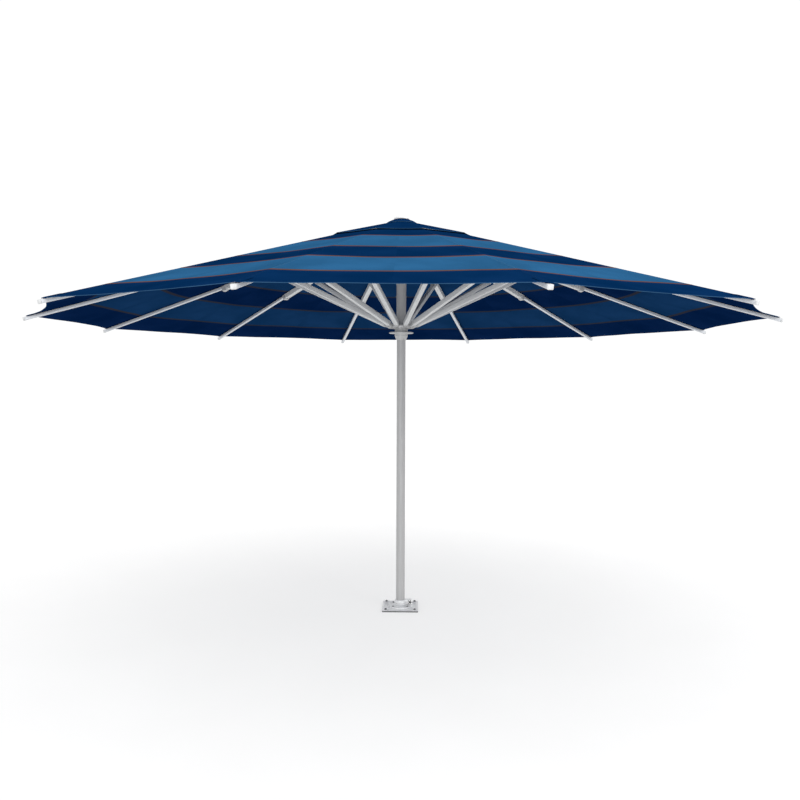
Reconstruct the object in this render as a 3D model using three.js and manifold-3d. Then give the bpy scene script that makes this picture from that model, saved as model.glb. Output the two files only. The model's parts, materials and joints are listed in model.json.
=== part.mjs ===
// A large centre-pole patio umbrella on a bolted base plate: twelve hinged ribs, twelve struts
// that push them up from a runner sliding on the mast, and a two-tier fabric canopy.
// Millimetres, +Z up. The origin is the centre of the base plate's underside.

import * as THREE from "three";
import { mergeVertices } from "three/addons/utils/BufferGeometryUtils.js";
import Module from "manifold-3d";

const wasm = await Module();
wasm.setup();

// ---------------------------------------------------------------- driving dimensions

const GAP = 0.3; // between pieces that touch
const RUNNING_GAP = 0.5; // between pieces that slide or turn on each other
const SCREW_GAP = 0.5; // round a screw in its hole, on the radius

const RIBS = 12;

const plate = { side: 310, thickness: 12, corner: 6 };
const anchor = { inset: 30, shank: 6, washer: 15, washerThickness: 3, head: 11, headHeight: 8 };

const mast = { radius: 38, wall: 3, overlap: 300 };
const upperMast = { wall: 3.5 };
const jointBolt = { radius: 5, aboveRunner: 173, head: 8, headHeight: 6 };

const socket = {
  flange: 105,
  flangeThickness: 12,
  flareFoot: 72,
  flareHeight: 30,
  wall: 7,
  height: 58,
  slit: 4,
};
const flangeBolt = { circle: 88, shank: 4.5, head: 8, headHeight: 6 };
const clamp = { earReach: 98, earThickness: 12, earHeight: 30, screwReach: 83, knobLift: 2 };
const clampScrew = { radius: 5, nut: 9.5, nutHeight: 9 };
const knob = { radius: 22, lobe: 4, lobes: 5, thickness: 16 };

const runner = {
  height: 2457,
  pivotRadius: 100,
  discLip: 1,
  discThickness: 26,
  sleeveWall: 5.8,
  sleeveAbove: 90,
  flangeRadius: 104,
  flangeThickness: 10,
  flangeBelow: 58,
  collarLip: 8.7,
  collarHeight: 24,
  taperHeight: 30,
};

const canopy = {
  radius: 3000,
  rimAboveRunner: 28,
  rise: 893,
  thickness: 1.5,
  innerRadius: 118,
  ventRadius: 600,
  rimCurve: 70,
};
const flap = { radius: 722, lift: 12, curve: 14 };
const strap = { radius: 644, length: 10, width: 36 };
const cap = { radius: 142, height: 40, flatness: 3.2 };
const finial = { radius: 68, height: 28, stem: 6, stemLength: 67 };

const crown = { pivotRadius: 105, lip: 15, above: 15, below: 24, skirt: 90, skirtWall: 9 };
const crownPlate = { radius: 110, thickness: 6 };
const pivotRing = { radius: 5 };

const strut = {
  attach: 1140,
  width: 38,
  height: 42,
  wall: 2.5,
  drop: 48,
  blade: 15,
  bladeEye: 12,
  bladeLength: 60,
  bladeNarrower: 3,
  tubeStart: 45,
  plug: 25,
  boss: 7,
  bossProud: 1,
};
const ear = { thickness: 3.5, eye: 18, length: 120 };
const rib = {
  sleeve: strut.width + 2 * (RUNNING_GAP + ear.thickness),
  sleeveWall: 3,
  sleeveStart: 150,
  sleeveEnd: 1690,
  tubeWidth: 30,
  tubeHeight: 26,
  tubeWall: 2.5,
  tubeOverlap: 150,
  collar: 52,
  collarLength: 36,
  blade: 16,
  bladeEye: 13,
  bladeLength: 60,
  bladeInSleeve: 30,
  capLength: 16,
  capLip: 2,
  tipReach: 22,
  fabricGap: 2,
};
const strutPin = { radius: 5, proud: 2 };

const bush = { wall: 3.2 };
const lockKnob = { radius: 17, lobe: 2.5, lobes: 6, length: 12, below: 2, screw: 5, standOff: 7.5 };

const SMOOTH = 24; // sides of a large round piece
const ROUND = 8; // sides of a small round piece
const RIM_STEPS = 4; // straight stretches in half a panel's curved rim

// ---------------------------------------------------------------- sizes worked out from them

const rimHeight = runner.height + canopy.rimAboveRunner;
const apexHeight = rimHeight + canopy.rise;
const slope = Math.atan2(canopy.rise, canopy.radius);
const coneAt = (r) => apexHeight - r * Math.tan(slope);
const flapAt = (r) => {
  const share = (r - canopy.innerRadius) / (flap.radius - canopy.innerRadius);
  return coneAt(r) + GAP + canopy.thickness + flap.lift * share;
};
const ribDepth = canopy.thickness + rib.fabricGap + rib.sleeve / 2;
const crownHeight = coneAt(crown.pivotRadius) - ribDepth / Math.cos(slope);
const ribLength = (canopy.radius - crown.pivotRadius) / Math.cos(slope) + rib.tipReach;

const plateTop = plate.thickness + GAP;
const upperRadius = mast.radius + RUNNING_GAP + upperMast.wall;
const runnerTop = runner.height + runner.sleeveAbove;
const upperStart = runnerTop + RUNNING_GAP;
const runnerBore = mast.radius + RUNNING_GAP + bush.wall + GAP;
const runnerRadius = runnerBore + runner.sleeveWall;
const collarRadius = runnerRadius + runner.collarLip;
const discRadius = runner.pivotRadius + strut.bladeEye + runner.discLip;
const crownRadius = crown.pivotRadius + crown.lip;
const slotDepth = 5; // from a blade's eye to the end of its slot
const bossReach = strut.blade / 2 + strut.bossProud;
const discBottom = runner.height - runner.discThickness / 2;
const flangeBottom = runner.height - runner.flangeBelow;
const collarBottom = flangeBottom - runner.collarHeight;
const runnerBottom = collarBottom - runner.taperHeight;

const attachRadius =
  crown.pivotRadius + strut.attach * Math.cos(slope) - strut.drop * Math.sin(slope);
const attachHeight = crownHeight - strut.attach * Math.sin(slope) - strut.drop * Math.cos(slope);
const strutRise = attachHeight - runner.height;
const strutRun = attachRadius - runner.pivotRadius;
const strutLength = Math.hypot(strutRun, strutRise);
const strutSlope = Math.atan2(strutRise, strutRun);

const halfPitch = Math.PI / RIBS;
const azimuth = (i) => (2 * i + 1) * halfPitch;

// ---------------------------------------------------------------- solids

// A closed three.js geometry as a solid that can be joined and cut.
function solid(geometry) {
  const bare = geometry.index ? geometry.toNonIndexed() : geometry.clone();
  bare.deleteAttribute("normal");
  bare.deleteAttribute("uv");
  const merged = mergeVertices(bare, 1e-4);
  const corners = merged.index.array;
  const kept = [];
  for (let i = 0; i < corners.length; i += 3) {
    const [a, b, c] = corners.subarray(i, i + 3);
    if (a !== b && b !== c && c !== a) kept.push(a, b, c);
  }
  return new wasm.Manifold(
    new wasm.Mesh({
      numProp: 3,
      vertProperties: merged.attributes.position.array,
      triVerts: new Uint32Array(kept),
    }),
  );
}

const join = (...pieces) => pieces.reduce((all, piece) => all.add(piece));
const cut = (from, ...pieces) => pieces.reduce((left, piece) => left.subtract(piece), from);

function geometryOf(made) {
  const { vertProperties, triVerts, numProp } = made.getMesh();
  const position = new Float32Array((vertProperties.length / numProp) * 3);
  for (let i = 0; i < position.length / 3; i++) {
    position.set(vertProperties.subarray(i * numProp, i * numProp + 3), i * 3);
  }
  const geometry = new THREE.BufferGeometry();
  geometry.setAttribute("position", new THREE.BufferAttribute(position, 3));
  geometry.setIndex(new THREE.BufferAttribute(triVerts, 1));
  geometry.computeVertexNormals();
  return geometry;
}

// A block between two corners.
function block([x0, y0, z0], [x1, y1, z1]) {
  const geometry = new THREE.BoxGeometry(x1 - x0, y1 - y0, z1 - z0);
  return solid(geometry.translate((x0 + x1) / 2, (y0 + y1) / 2, (z0 + z1) / 2));
}

// A block of a width and a height, centred on the X axis, from one x to another.
const bar = (x0, x1, width, height) =>
  block([x0, -width / 2, -height / 2], [x1, width / 2, height / 2]);

// A hollow bar with open ends.
const tube = (x0, x1, width, height, wall) =>
  cut(bar(x0, x1, width, height), bar(x0 - 1, x1 + 1, width - 2 * wall, height - 2 * wall));

// A profile drawn in X and Z, as thick as width and centred on y = 0.
function slab(shape, width) {
  const geometry = new THREE.ExtrudeGeometry(shape, {
    depth: width,
    bevelEnabled: false,
    curveSegments: ROUND / 2,
  });
  return solid(geometry.translate(0, 0, -width / 2).rotateX(Math.PI / 2));
}

// An outline drawn in X and Y, raised from z0 to z1.
function pad(shape, z0, z1) {
  const geometry = new THREE.ExtrudeGeometry(shape, {
    depth: z1 - z0,
    bevelEnabled: false,
    curveSegments: ROUND / 2,
  });
  return solid(geometry.translate(0, 0, z0));
}

// A closed profile of [radius, z] points turned round the Z axis, listed from its lowest
// outer point upwards and back down the inside.
function turned(profile, sides = SMOOTH) {
  const points = [...profile, profile[0]].map(([r, z]) => new THREE.Vector2(r, z));
  return solid(new THREE.LatheGeometry(points, sides).rotateX(Math.PI / 2));
}

const ring = (outer, inner, z0, z1, sides = SMOOTH) =>
  turned([[outer, z0], [outer, z1], [inner, z1], [inner, z0]], sides);

const post = (radius, z0, z1, sides = ROUND) =>
  turned([[radius, z0], [radius, z1], [0, z1], [0, z0]], sides);

// A post laid along Y or X, through a place given by the other two coordinates.
function pinAlongY(radius, y0, y1, x, z, sides = ROUND) {
  return post(radius, y0, y1, sides).rotate([-90, 0, 0]).translate([x, 0, z]);
}
function pinAlongX(radius, x0, x1, y, z, sides = ROUND) {
  return post(radius, x0, x1, sides).rotate([0, 90, 0]).translate([0, y, z]);
}

const polygon = (points) => new THREE.Shape(points.map(([x, y]) => new THREE.Vector2(x, y)));

function roundedSquare(side, radius) {
  const shape = new THREE.Shape();
  const h = side / 2;
  const k = h - radius;
  shape.moveTo(k, -h);
  shape.absarc(k, -k, radius, -Math.PI / 2, 0);
  shape.absarc(k, k, radius, 0, Math.PI / 2);
  shape.absarc(-k, k, radius, Math.PI / 2, Math.PI);
  shape.absarc(-k, -k, radius, Math.PI, 1.5 * Math.PI);
  return shape;
}

// The outline of a hand knob with rounded lobes.
function lobed({ radius, lobe, lobes }) {
  const steps = lobes * 8;
  const points = [];
  for (let i = 0; i < steps; i++) {
    const turn = (2 * Math.PI * i) / steps;
    const r = radius + lobe * Math.cos(lobes * turn);
    points.push([r * Math.cos(turn), r * Math.sin(turn)]);
  }
  return polygon(points);
}

// ---------------------------------------------------------------- the scene graph

const umbrella = new THREE.Group();
umbrella.name = "patio_umbrella";

const finish = (color, roughness, metalness) => ({ color, roughness, metalness });
const ALUMINIUM = finish(0xb4b5b7, 0.42, 0.85);
const FRAME = finish(0xcfd2d2, 0.5, 0.3);
const STEEL = finish(0xc2c4c5, 0.38, 0.75);
const BOLTS = finish(0x6e7072, 0.45, 0.8);
const PLASTIC = finish(0xd9dbdb, 0.55, 0);
const DARK_PLASTIC = finish(0x3a3c3e, 0.55, 0);
const NAVY = finish(0x0b3160, 0.9, 0);

function add(name, made, look, parent = umbrella) {
  const mesh = new THREE.Mesh(geometryOf(made), new THREE.MeshStandardMaterial(look));
  mesh.name = name;
  parent.add(mesh);
}

// ---------------------------------------------------------------- base

const anchorReach = plate.side / 2 - anchor.inset;
const anchorSpots = [[1, 1], [-1, 1], [-1, -1], [1, -1]].map(([x, y]) => [
  x * anchorReach,
  y * anchorReach,
]);
const flangeBoltSpots = [45, 135, 225, 315].map((degrees) => {
  const turn = THREE.MathUtils.degToRad(degrees);
  return [flangeBolt.circle * Math.cos(turn), flangeBolt.circle * Math.sin(turn)];
});
const holesAt = (spots, radius, z0, z1) =>
  spots.map(([x, y]) => post(radius, z0, z1).translate([x, y, 0]));

function addBasePlate() {
  const slabOfSteel = pad(roundedSquare(plate.side, plate.corner), 0, plate.thickness);
  const holes = [
    ...holesAt(anchorSpots, anchor.shank + SCREW_GAP, -1, plate.thickness + 1),
    ...holesAt(flangeBoltSpots, flangeBolt.shank + SCREW_GAP, -1, plate.thickness + 1),
  ];
  add("base_plate", cut(slabOfSteel, ...holes), STEEL);
}

function addAnchorBolts() {
  anchorSpots.forEach(([x, y], i) => {
    const washerTop = plateTop + anchor.washerThickness;
    const bolt = join(
      post(anchor.shank, 1, plateTop + 1),
      post(anchor.washer, plateTop, washerTop, 24),
      post(anchor.head, washerTop - 0.2, washerTop + anchor.headHeight, 6),
      post(anchor.shank, washerTop, washerTop + anchor.headHeight + 4, 12),
    );
    add(`anchor_bolt_${i + 1}`, bolt.translate([x, y, 0]), BOLTS);
  });
}

const flangeTop = plateTop + socket.flangeThickness;
const socketBore = mast.radius + SCREW_GAP;
const socketRadius = socketBore + socket.wall;
const screwHeight = flangeTop + clamp.knobLift + knob.radius + knob.lobe;
const earBottom = screwHeight - clamp.earHeight / 2;

function addSocket() {
  const body = turned([
    [socket.flange, plateTop],
    [socket.flange, flangeTop - 2],
    [socket.flange - 2, flangeTop],
    [socket.flareFoot, flangeTop],
    [socketRadius + 5, flangeTop + socket.flareHeight * 0.45],
    [socketRadius, flangeTop + socket.flareHeight],
    [socketRadius, plateTop + socket.height - 2],
    [socketRadius - 2, plateTop + socket.height],
    [socketBore, plateTop + socket.height],
    [socketBore, plateTop],
  ]);
  const ears = block(
    [socketBore + 2, -socket.slit / 2 - clamp.earThickness, earBottom],
    [clamp.earReach, socket.slit / 2 + clamp.earThickness, earBottom + clamp.earHeight],
  );
  const slit = block(
    [0, -socket.slit / 2, flangeTop + 1],
    [clamp.earReach + 1, socket.slit / 2, plateTop + socket.height + 1],
  );
  const screwHole = pinAlongY(
    clampScrew.radius + SCREW_GAP, -40, 40, clamp.screwReach, screwHeight,
  );
  const holes = holesAt(flangeBoltSpots, flangeBolt.shank + SCREW_GAP, 0, flangeTop + 1);
  add("mast_socket", cut(join(body, ears), slit, screwHole, ...holes), STEEL);
}

function addFlangeBolts() {
  flangeBoltSpots.forEach(([x, y], i) => {
    const bolt = join(
      post(flangeBolt.shank, 1, flangeTop + 2, 12),
      post(flangeBolt.head, flangeTop + GAP, flangeTop + GAP + flangeBolt.headHeight, 6),
    );
    add(`flange_bolt_${i + 1}`, bolt.translate([x, y, 0]), BOLTS);
  });
}

function addClamp() {
  const earFace = socket.slit / 2 + clamp.earThickness + GAP;
  const nutTop = earFace + clampScrew.nutHeight;
  const screw = pinAlongY(
    clampScrew.radius, -earFace - 2, nutTop + 4, clamp.screwReach, screwHeight,
  );
  const grip = slab(lobed(knob), knob.thickness).translate([
    clamp.screwReach,
    -earFace - knob.thickness / 2,
    screwHeight,
  ]);
  add("clamp_knob", join(screw, grip), DARK_PLASTIC);
  const nut = cut(
    pinAlongY(clampScrew.nut, earFace, nutTop, 0, 0, 6),
    pinAlongY(clampScrew.radius + SCREW_GAP, earFace - 1, nutTop + 1, 0, 0),
  );
  add("clamp_nut", nut.translate([clamp.screwReach, 0, screwHeight]), BOLTS);
}

// ---------------------------------------------------------------- mast

const crownTop = crownHeight + crown.above;
const upperEnd = crownHeight - crown.below + 10;
const lowerEnd = upperStart + mast.overlap;
const jointBoltHeight = runnerTop + jointBolt.aboveRunner;
const boltThroughMast = (radius, reach) =>
  pinAlongX(radius, -reach, reach, 0, jointBoltHeight, 12);

function addMast() {
  const hole = boltThroughMast(jointBolt.radius + SCREW_GAP, upperRadius + 1);
  const lower = ring(mast.radius, mast.radius - mast.wall, plateTop, lowerEnd);
  const upper = ring(upperRadius, upperRadius - upperMast.wall, upperStart, upperEnd);
  add("mast_lower", cut(lower, hole), ALUMINIUM);
  add("mast_upper", cut(upper, hole), ALUMINIUM);
  const reach = upperRadius + GAP + jointBolt.headHeight;
  const head = (x0, x1) => pinAlongX(jointBolt.head, x0, x1, 0, jointBoltHeight, 6);
  const bolt = join(
    boltThroughMast(jointBolt.radius, upperRadius + 1),
    head(upperRadius + GAP, reach),
    head(-reach, -upperRadius - GAP),
  );
  add("mast_joint_bolt", bolt, BOLTS);
}

// ---------------------------------------------------------------- crown

// A ring with one straight side across each rib, from a section of [outwards, z] points.
function straightSided(section) {
  const toCorner = 1 / Math.cos(halfPitch);
  return turned(section.map(([out, z]) => [(crown.pivotRadius + out) * toCorner, z]), RIBS);
}

function addCrown() {
  const bottom = crownHeight - crown.below;
  const skirtRadius = upperRadius + SCREW_GAP + crown.skirtWall;
  const body = turned([
    [skirtRadius, bottom - crown.skirt],
    [skirtRadius, bottom],
    [crownRadius, bottom],
    [crownRadius, crownTop],
    [finial.stem + SCREW_GAP, crownTop],
    [finial.stem + SCREW_GAP, upperEnd + GAP],
    [upperRadius + SCREW_GAP, upperEnd + GAP],
    [upperRadius + SCREW_GAP, bottom - crown.skirt],
  ]);
  const slots = [];
  for (let i = 0; i < RIBS; i++) {
    const slot = block(
      [crown.pivotRadius - rib.bladeEye - slotDepth, -rib.blade / 2 - RUNNING_GAP, bottom - 1],
      [crownRadius + 1, rib.blade / 2 + RUNNING_GAP, crownTop + 1],
    );
    slots.push(slot.rotate([0, 0, THREE.MathUtils.radToDeg(azimuth(i))]));
  }
  const half = pivotRing.radius + GAP;
  const groove = straightSided([
    [half, crownHeight - half],
    [half, crownTop + 1],
    [-half, crownTop + 1],
    [-half, crownHeight - half],
  ]);
  add("crown_hub", cut(body, ...slots, groove), STEEL);
  const wire = [];
  for (let i = 0; i < ROUND; i++) {
    const turn = (2 * Math.PI * i) / ROUND;
    wire.push([
      pivotRing.radius * Math.cos(turn),
      crownHeight + pivotRing.radius * Math.sin(turn),
    ]);
  }
  add("crown_pivot_ring", straightSided(wire), BOLTS);
  const plateBottom = crownTop + GAP;
  add(
    "crown_plate",
    ring(crownPlate.radius, finial.stem + SCREW_GAP, plateBottom,
      plateBottom + crownPlate.thickness),
    STEEL,
  );
}

// The domed fabric cap over the canopy's centre, and the screwed finial that holds it.
const capEdge = flapAt(cap.radius) + 3;
const capAt = (r) => capEdge + cap.height * (1 - (r / cap.radius) ** cap.flatness);

function addTop() {
  const steps = [1, 0.9, 0.75, 0.5].map((share) => share * cap.radius);
  const hole = finial.stem + SCREW_GAP;
  const outside = [...steps.map((r) => [r, capAt(r)]), [hole, capAt(hole)]];
  const inside = outside.map(([r, z]) => [r, z - canopy.thickness]).reverse();
  add("canopy_cap", turned([...outside, ...inside]), NAVY);
  const foot = capAt(0) + GAP;
  const knobOnTop = turned([
    [finial.radius, foot],
    [finial.radius, foot + finial.height * 0.4],
    [finial.radius * 0.8, foot + finial.height],
    [0, foot + finial.height],
    [0, foot - finial.stemLength],
    [finial.stem, foot - finial.stemLength],
    [finial.stem, foot],
  ]);
  add("finial", knobOnTop, PLASTIC);
}

// ---------------------------------------------------------------- runner

function addRunner() {
  const sleeve = turned([
    [runnerBore + 2, runnerBottom],
    [collarRadius, collarBottom],
    [collarRadius, flangeBottom],
    [runner.flangeRadius, flangeBottom],
    [runner.flangeRadius, flangeBottom + runner.flangeThickness],
    [collarRadius, flangeBottom + runner.flangeThickness],
    [collarRadius, discBottom - GAP],
    [runnerRadius, discBottom - GAP],
    [runnerRadius, runnerTop - 3],
    [runnerRadius - 3, runnerTop],
    [runnerBore, runnerTop],
    [runnerBore, runnerBottom],
  ]);
  const knobHeight = flangeBottom - lockKnob.radius - lockKnob.lobe - lockKnob.below;
  const screwBore = pinAlongY(
    lockKnob.screw + SCREW_GAP, 0, discRadius, 0, knobHeight, 12,
  );
  add("runner_sleeve", cut(sleeve, screwBore), STEEL);

  const liner = ring(runnerBore - GAP, mast.radius + RUNNING_GAP, runnerBottom, runnerTop - 4);
  add("runner_bush", cut(liner, screwBore), PLASTIC);

  const z1 = discBottom + runner.discThickness;
  const disc = ring(discRadius, runnerRadius + GAP, discBottom, z1, 48);
  const slots = [];
  for (let i = 0; i < RIBS; i++) {
    const slot = block(
      [runner.pivotRadius - strut.bladeEye - slotDepth, -bossReach - RUNNING_GAP, discBottom - 1],
      [discRadius + 1, bossReach + RUNNING_GAP, z1 + 1],
    );
    slots.push(slot.rotate([0, 0, THREE.MathUtils.radToDeg(azimuth(i))]));
  }
  add("runner_disc", cut(disc, ...slots), STEEL);

  const grip = slab(lobed(lockKnob), lockKnob.length);
  const gripAt = collarRadius + lockKnob.standOff + lockKnob.length / 2;
  const screw = pinAlongY(lockKnob.screw, mast.radius + GAP, gripAt, 0, knobHeight, 12);
  add("runner_knob", join(screw, grip.translate([0, gripAt, knobHeight])), DARK_PLASTIC);
}

// ---------------------------------------------------------------- ribs, struts and canopy

// A rib along +X from its hinge at the origin, with +Z towards the fabric.
function ribSolid() {
  const inner = rib.sleeve - 2 * rib.sleeveWall;
  const tubeStart = rib.sleeveEnd - rib.tubeOverlap;
  const tubeEnd = ribLength - rib.capLength;
  const bladeShape = new THREE.Shape();
  bladeShape.absarc(0, 0, rib.bladeEye, Math.PI / 2, 1.5 * Math.PI);
  const bladeEnd = rib.sleeveStart + rib.bladeInSleeve;
  bladeShape.lineTo(rib.bladeLength, -inner / 2);
  bladeShape.lineTo(bladeEnd, -inner / 2);
  bladeShape.lineTo(bladeEnd, inner / 2);
  bladeShape.lineTo(rib.bladeLength, inner / 2);
  const eye = pinAlongY(pivotRing.radius + SCREW_GAP, -rib.blade, rib.blade, 0, 0);
  const tubeRise = (inner - rib.tubeHeight) / 2 + 0.2;
  const raised = (made) => made.translate([0, 0, tubeRise]);
  const earShape = new THREE.Shape();
  const half = ear.length / 2;
  earShape.moveTo(strut.attach + half, -inner / 2);
  earShape.lineTo(strut.attach - half, -inner / 2);
  earShape.absarc(strut.attach, -strut.drop, ear.eye, Math.PI * 1.1, Math.PI * 1.9);
  const earAt = (rib.sleeve - ear.thickness) / 2;
  const ears = [-earAt, earAt].map((y) => slab(earShape, ear.thickness).translate([0, y, 0]));
  const outer = rib.sleeve / 2 + strutPin.proud;
  const pin = pinAlongY(strutPin.radius, -outer, outer, strut.attach, -strut.drop);
  const collarWall = (rib.collar - rib.sleeve) / 2 + 0.5;
  const collar = tube(
    rib.sleeveEnd - rib.collarLength, rib.sleeveEnd, rib.collar, rib.collar, collarWall,
  ).translate([0, 0, (rib.sleeve - rib.collar) / 2]);
  const packing = block(
    [tubeStart + 10, -rib.tubeWidth / 2, -inner / 2 - 0.2],
    [rib.sleeveEnd - 10, rib.tubeWidth / 2, tubeRise - rib.tubeHeight / 2 + 1],
  );
  return join(
    cut(slab(bladeShape, rib.blade), eye),
    bar(rib.sleeveStart, rib.sleeveStart + 20, inner + 0.4, inner + 0.4),
    tube(rib.sleeveStart, rib.sleeveEnd, rib.sleeve, rib.sleeve, rib.sleeveWall),
    collar,
    raised(tube(tubeStart, tubeEnd + 1, rib.tubeWidth, rib.tubeHeight, rib.tubeWall)),
    packing,
    raised(bar(tubeEnd, ribLength, rib.tubeWidth + rib.capLip, rib.tubeHeight + rib.capLip)),
    ...ears,
    pin,
  );
}

// A strut along +X from its lower pivot at the origin.
function strutSolid() {
  const half = strut.height / 2;
  const side = new THREE.Shape();
  side.moveTo(strut.tubeStart, -half);
  side.lineTo(strutLength, -half);
  side.absarc(strutLength, 0, half, -Math.PI / 2, Math.PI / 2);
  side.lineTo(strut.tubeStart, half);
  const innerWidth = strut.width - 2 * strut.wall;
  const innerHeight = strut.height - 2 * strut.wall;
  const hollow = bar(
    strut.tubeStart + strut.plug, strutLength + half + 1, innerWidth, innerHeight,
  );
  const pinHole = pinAlongY(
    strutPin.radius + SCREW_GAP, -strut.width, strut.width, strutLength, 0,
  );
  const blade = new THREE.Shape();
  blade.absarc(0, 0, strut.bladeEye, Math.PI / 2, 1.5 * Math.PI);
  const bladeHalf = half - strut.bladeNarrower;
  blade.lineTo(strut.tubeStart, -bladeHalf);
  blade.lineTo(strut.bladeLength, -bladeHalf);
  blade.lineTo(strut.bladeLength, bladeHalf);
  blade.lineTo(strut.tubeStart, bladeHalf);
  return join(
    cut(slab(side, strut.width), hollow, pinHole),
    slab(blade, strut.blade),
    pinAlongY(strut.boss, -bossReach, bossReach, 0, 0),
  );
}

// A twelve-sided pyramid with an edge over each rib, its surface at height(r) over a rib.
function pyramid(height) {
  const reach = canopy.radius + 50;
  return turned([[reach, height(reach)], [0, height(0)], [0, height(reach)]], RIBS);
}

// A sheet of cloth under a pyramid's surface.
const sheetUnder = (height) =>
  cut(pyramid(height), pyramid((r) => height(r) - canopy.thickness));

// The space from the canopy's underside to the flap's top.
const sheetBetween = () =>
  cut(pyramid(flapAt), pyramid((r) => coneAt(r) - canopy.thickness));

// The plan of the cloth over one rib that lies along +X, from the middle of one panel to the
// middle of the next. Its rim curves in between the ribs.
function clothPlan(inner, outer, curve) {
  const middle = outer * Math.cos(halfPitch);
  const half = outer * Math.sin(halfPitch);
  const seam = GAP / 2;
  const side = [[inner, inner * Math.tan(halfPitch) - seam]];
  for (let i = 0; i <= RIM_STEPS; i++) {
    const share = i / RIM_STEPS;
    const out = middle - curve * (1 - share ** 2);
    const along = Math.max(half * share, seam);
    side.push([
      out * Math.cos(halfPitch) + along * Math.sin(halfPitch),
      out * Math.sin(halfPitch) - along * Math.cos(halfPitch),
    ]);
  }
  const otherSide = side.slice(0, -1).map(([x, y]) => [x, -y]);
  return polygon([...otherSide, ...side.reverse()]);
}

// The cloth that one rib carries: its share of the canopy, and of the vent flap above the
// canopy's open middle, held together by a sewn strap.
function clothSolid() {
  const low = rimHeight - canopy.radius;
  const high = apexHeight + canopy.radius;
  const lower = pad(clothPlan(canopy.ventRadius, canopy.radius, canopy.rimCurve), low, high);
  const upper = pad(clothPlan(canopy.innerRadius, flap.radius, flap.curve), low, high);
  const [x0, x1] = [strap.radius, strap.radius + strap.length];
  const middle = canopy.thickness / 2;
  const web = slab(
    polygon([
      [x0, coneAt(x0) - middle],
      [x1, coneAt(x1) - middle],
      [x1, flapAt(x1) - middle],
      [x0, flapAt(x0) - middle],
    ]),
    strap.width,
  ).intersect(sheetBetween());
  return join(
    lower.intersect(sheetUnder(coneAt)),
    upper.intersect(sheetUnder(flapAt)),
    web,
  );
}

function addRibs() {
  const [ribMade, strutMade, clothMade] = [ribSolid(), strutSolid(), clothSolid()];
  for (let i = 0; i < RIBS; i++) {
    const spoke = new THREE.Group();
    spoke.rotation.z = azimuth(i);
    umbrella.add(spoke);

    const hinge = new THREE.Group();
    hinge.position.set(crown.pivotRadius, 0, crownHeight);
    hinge.rotation.y = slope;
    spoke.add(hinge);
    add(`rib_${i + 1}`, ribMade, FRAME, hinge);

    const lowerPivot = new THREE.Group();
    lowerPivot.position.set(runner.pivotRadius, 0, runner.height);
    lowerPivot.rotation.y = -strutSlope;
    spoke.add(lowerPivot);
    add(`strut_${i + 1}`, strutMade, FRAME, lowerPivot);

    add(`canopy_panel_${i + 1}`, clothMade, NAVY, spoke);
  }
}

addBasePlate();
addAnchorBolts();
addSocket();
addFlangeBolts();
addClamp();
addMast();
addCrown();
addTop();
addRunner();
addRibs();

export default umbrella;
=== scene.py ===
import json
import math

import bmesh
import bpy
import numpy as np
from mathutils import Matrix, Vector, noise
from mathutils.geometry import tessellate_polygon

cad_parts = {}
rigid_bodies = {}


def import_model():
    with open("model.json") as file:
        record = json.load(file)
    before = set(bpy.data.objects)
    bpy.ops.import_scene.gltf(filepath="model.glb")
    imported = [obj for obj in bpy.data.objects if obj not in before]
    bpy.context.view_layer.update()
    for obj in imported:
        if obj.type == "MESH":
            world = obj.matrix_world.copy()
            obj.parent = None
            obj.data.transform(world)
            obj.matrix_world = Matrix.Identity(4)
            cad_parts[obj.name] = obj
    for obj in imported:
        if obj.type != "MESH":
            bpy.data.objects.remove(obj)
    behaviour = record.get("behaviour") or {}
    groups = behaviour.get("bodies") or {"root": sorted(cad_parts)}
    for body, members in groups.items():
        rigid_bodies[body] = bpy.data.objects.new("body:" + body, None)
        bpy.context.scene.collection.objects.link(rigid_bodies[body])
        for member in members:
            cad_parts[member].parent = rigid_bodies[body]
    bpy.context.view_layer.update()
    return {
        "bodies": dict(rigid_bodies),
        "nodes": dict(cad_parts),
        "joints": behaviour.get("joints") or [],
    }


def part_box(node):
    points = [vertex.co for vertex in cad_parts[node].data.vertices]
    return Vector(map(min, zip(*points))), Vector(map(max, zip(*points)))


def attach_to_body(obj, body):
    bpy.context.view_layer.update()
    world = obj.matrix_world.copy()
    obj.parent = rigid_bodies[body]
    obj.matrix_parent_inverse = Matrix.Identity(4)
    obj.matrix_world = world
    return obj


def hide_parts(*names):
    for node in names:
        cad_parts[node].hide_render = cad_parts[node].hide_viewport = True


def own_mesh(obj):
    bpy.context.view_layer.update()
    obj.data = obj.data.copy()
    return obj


# Looks of the patio umbrella. Metres, Z up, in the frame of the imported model.

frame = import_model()
joints = {joint["name"]: joint for joint in frame["joints"]}
RIBS = sum(name.startswith("rib_") for name in frame["bodies"])
HALF_PITCH = math.pi / RIBS


def corners_of(node):
    """The points of a CAD node, as rows."""
    points = np.array([vertex.co for vertex in frame["nodes"][node].data.vertices], float)
    return points.reshape(-1, 3)


def radius_of(node):
    """The largest distance of a CAD node's points from the mast's axis."""
    return float(np.hypot(*corners_of(node)[:, :2].T).max())


def linked(name, data):
    """A new object in the scene."""
    made = bpy.data.objects.new(name, data)
    bpy.context.scene.collection.objects.link(made)
    return made


# ------------------------------------------------------------------ camera, light and floor

CAMERA_DISTANCE = 6.733
CAMERA_HEIGHT = 2.009
CAMERA_TURN = math.radians(0.968)  # round the mast, to the right of the front
CAMERA_PAN = math.radians(0.075)
CAMERA_PITCH = math.radians(-1.604)
CAMERA_ROLL = math.radians(0.195)
CAMERA_LENS = 34.76
CAMERA_SENSOR = 36.0
FLOOR_RADIUS = 90.0
FLOOR_DROP = 0.001
FLOOR_SIDES = 64
FLOOR_GLOW = 0.56  # a lit floor, so that the shadow on it stays pale
WORLD_STRENGTH = 1.04
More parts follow.
